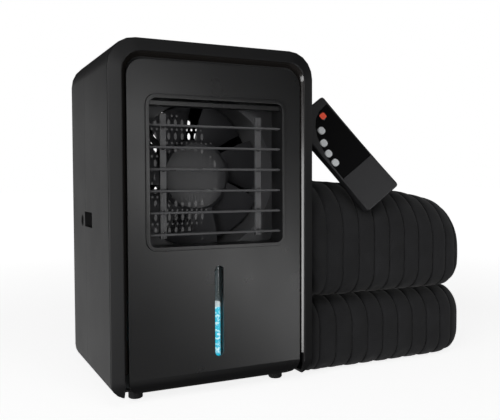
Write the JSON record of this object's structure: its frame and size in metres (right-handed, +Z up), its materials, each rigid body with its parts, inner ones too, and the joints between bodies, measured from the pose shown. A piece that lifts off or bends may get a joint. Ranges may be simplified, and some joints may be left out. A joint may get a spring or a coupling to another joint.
{
  "type": "bed cooling system",
  "caption": "Water-cooling tower unit with louvred air outlet, fan, tank, pump and sight slot, beside a folded channelled pad and a hand remote",
  "frame": {"origin": "the centre of the set's box in plan, on the surface it stands on", "axes": "+Z up; -Y is the side that the unit's front panel faces; +X runs from the unit to the pad beside it"},
  "size_m": [0.4226, 0.2072, 0.33],
  "materials": {
    "casing": "fine matt black",
    "panel": "satin black",
    "louvre": "satin black",
    "fan": "satin dark grey",
    "duct": "matt dark grey",
    "metal": "bare",
    "board": "solder mask",
    "tank": "translucent natural",
    "clear": "clear",
    "float": "white",
    "rubber": "matt black",
    "hose": "translucent silicone",
    "cooler": "white ceramic",
    "fabric": "quilted dark charcoal",
    "remote": "matt dark grey",
    "gloss": "gloss black",
    "red": "satin red",
    "grey": "satin light grey"
  },
  "bodies": {
    "unit": {"air_duct": "duct", "control_board": "board", "cooling_module": "cooler", "delivery_hose": "hose", "fan_motor": "metal", "fan_shroud": "duct", "fill_neck": "tank", "fill_pipe": "hose", "foot_front_left": "rubber", "foot_front_right": "rubber", "foot_rear_left": "rubber", "foot_rear_right": "rubber", "front_housing": "casing", "front_panel": "panel", "heat_sink": "metal", "hose_port_in": "rubber", "hose_port_out": "rubber", "intake_grille": "casing", "outlet_frame": "panel", "power_inlet": "rubber", "pump_body": "duct", "pump_motor": "metal", "rear_cover": "casing", "return_hose": "hose", "sight_tube": "clear", "suction_hose": "hose", "tank_lid": "tank", "water_tank": "tank"},
    "fan": {"fan_rotor": "fan"},
    "impeller": {"pump_impeller": "fan"},
    "float": {"level_float": "float"},
    "cap": {"fill_cap": "casing"},
    "link_left": {"link_bar_left": "louvre"},
    "link_right": {"link_bar_right": "louvre"},
    "pad": {"pad_lower": "fabric", "pad_upper": "fabric"},
    "remote": {"remote_back": "remote", "remote_front": "remote", "remote_faceplate": "gloss", "remote_board": "board", "remote_cell": "metal"},
    "battery_cover": {"battery_door": "remote"},
    "louvre_1_body": {"louvre_1": "louvre"},
    "louvre_2_body": {"louvre_2": "louvre"},
    "louvre_3_body": {"louvre_3": "louvre"},
    "louvre_4_body": {"louvre_4": "louvre"},
    "louvre_5_body": {"louvre_5": "louvre"},
    "louvre_6_body": {"louvre_6": "louvre"},
    "power_button_body": {"power_button": "red"},
    "mode_button_1_body": {"mode_button_1": "grey"},
    "mode_button_2_body": {"mode_button_2": "grey"},
    "mode_button_3_body": {"mode_button_3": "grey"},
    "mode_button_4_body": {"mode_button_4": "grey"}
  },
  "joints": [
    {"name": "louvre_1_tilt", "type": "hinge", "parent": "unit", "child": "louvre_1_body", "pos_m": [-0.10784, -0.09284, 0.1535], "axis": [1, 0, 0], "range_deg": [-25, 25]},
    {"name": "louvre_2_tilt", "type": "hinge", "parent": "unit", "child": "louvre_2_body", "pos_m": [-0.10784, -0.09284, 0.1735], "axis": [1, 0, 0], "range_deg": [-25, 25]},
    {"name": "louvre_3_tilt", "type": "hinge", "parent": "unit", "child": "louvre_3_body", "pos_m": [-0.10784, -0.09284, 0.1935], "axis": [1, 0, 0], "range_deg": [-25, 25]},
    {"name": "louvre_4_tilt", "type": "hinge", "parent": "unit", "child": "louvre_4_body", "pos_m": [-0.10784, -0.09284, 0.2135], "axis": [1, 0, 0], "range_deg": [-25, 25]},
    {"name": "louvre_5_tilt", "type": "hinge", "parent": "unit", "child": "louvre_5_body", "pos_m": [-0.10784, -0.09284, 0.2335], "axis": [1, 0, 0], "range_deg": [-25, 25]},
    {"name": "louvre_6_tilt", "type": "hinge", "parent": "unit", "child": "louvre_6_body", "pos_m": [-0.10784, -0.09284, 0.2535], "axis": [1, 0, 0], "range_deg": [-25, 25]},
    {"name": "link_left_lift", "type": "slide", "parent": "unit", "child": "link_left", "axis": [0, 0, 1], "range_m": [-0.00381, 0.00381]},
    {"name": "link_right_lift", "type": "slide", "parent": "unit", "child": "link_right", "axis": [0, 0, 1], "range_m": [-0.00381, 0.00381]},
    {"name": "fan_spin", "type": "hinge", "parent": "unit", "child": "fan", "pos_m": [-0.10784, -0.04384, 0.208], "axis": [0, 1, 0], "continuous": true},
    {"name": "impeller_spin", "type": "hinge", "parent": "unit", "child": "impeller", "pos_m": [-0.03584, -0.02224, 0.032], "axis": [0, 1, 0], "continuous": true},
    {"name": "float_rise", "type": "slide", "parent": "unit", "child": "float", "axis": [0, 0, 1], "range_m": [-0.0483, 0.0348]},
    {"name": "cap_lift", "type": "slide", "parent": "unit", "child": "cap", "axis": [0, 0, 1], "range_m": [0, 0.022]},
    {"name": "pad_slide", "type": "slide", "parent": "unit", "child": "pad", "axis": [0, 1, 0], "range_m": [0, 0.06]},
    {"name": "remote_lift", "type": "slide", "parent": "unit", "child": "remote", "axis": [0, -1, 0], "range_m": [0, 0.06]},
    {"name": "power_button_press", "type": "slide", "parent": "remote", "child": "power_button_body", "axis": [0.3125, 0.9339, -0.1736], "range_m": [0, 0.0008], "stiffness_N_per_m": 800, "springref_m": -0.0005},
    {"name": "mode_button_1_press", "type": "slide", "parent": "remote", "child": "mode_button_1_body", "axis": [0.3125, 0.9339, -0.1736], "range_m": [0, 0.0008], "stiffness_N_per_m": 800, "springref_m": -0.0005},
    {"name": "mode_button_2_press", "type": "slide", "parent": "remote", "child": "mode_button_2_body", "axis": [0.3125, 0.9339, -0.1736], "range_m": [0, 0.0008], "stiffness_N_per_m": 800, "springref_m": -0.0005},
    {"name": "mode_button_3_press", "type": "slide", "parent": "remote", "child": "mode_button_3_body", "axis": [0.3125, 0.9339, -0.1736], "range_m": [0, 0.0008], "stiffness_N_per_m": 800, "springref_m": -0.0005},
    {"name": "mode_button_4_press", "type": "slide", "parent": "remote", "child": "mode_button_4_body", "axis": [0.3125, 0.9339, -0.1736], "range_m": [0, 0.0008], "stiffness_N_per_m": 800, "springref_m": -0.0005},
    {"name": "battery_door_slide", "type": "slide", "parent": "remote", "child": "battery_cover", "axis": [0.5594, -0.3287, -0.761], "range_m": [0, 0.04]}
  ],
  "couplings": [
    {"joint": "louvre_2_tilt", "follows": "louvre_1_tilt", "ratio": 1},
    {"joint": "louvre_3_tilt", "follows": "louvre_1_tilt", "ratio": 1},
    {"joint": "louvre_4_tilt", "follows": "louvre_1_tilt", "ratio": 1},
    {"joint": "louvre_5_tilt", "follows": "louvre_1_tilt", "ratio": 1},
    {"joint": "louvre_6_tilt", "follows": "louvre_1_tilt", "ratio": 1},
    {"joint": "link_left_lift", "follows": "louvre_1_tilt", "m_per_rad": 0.0087171},
    {"joint": "link_right_lift", "follows": "louvre_1_tilt", "m_per_rad": 0.0087171}
  ]
}
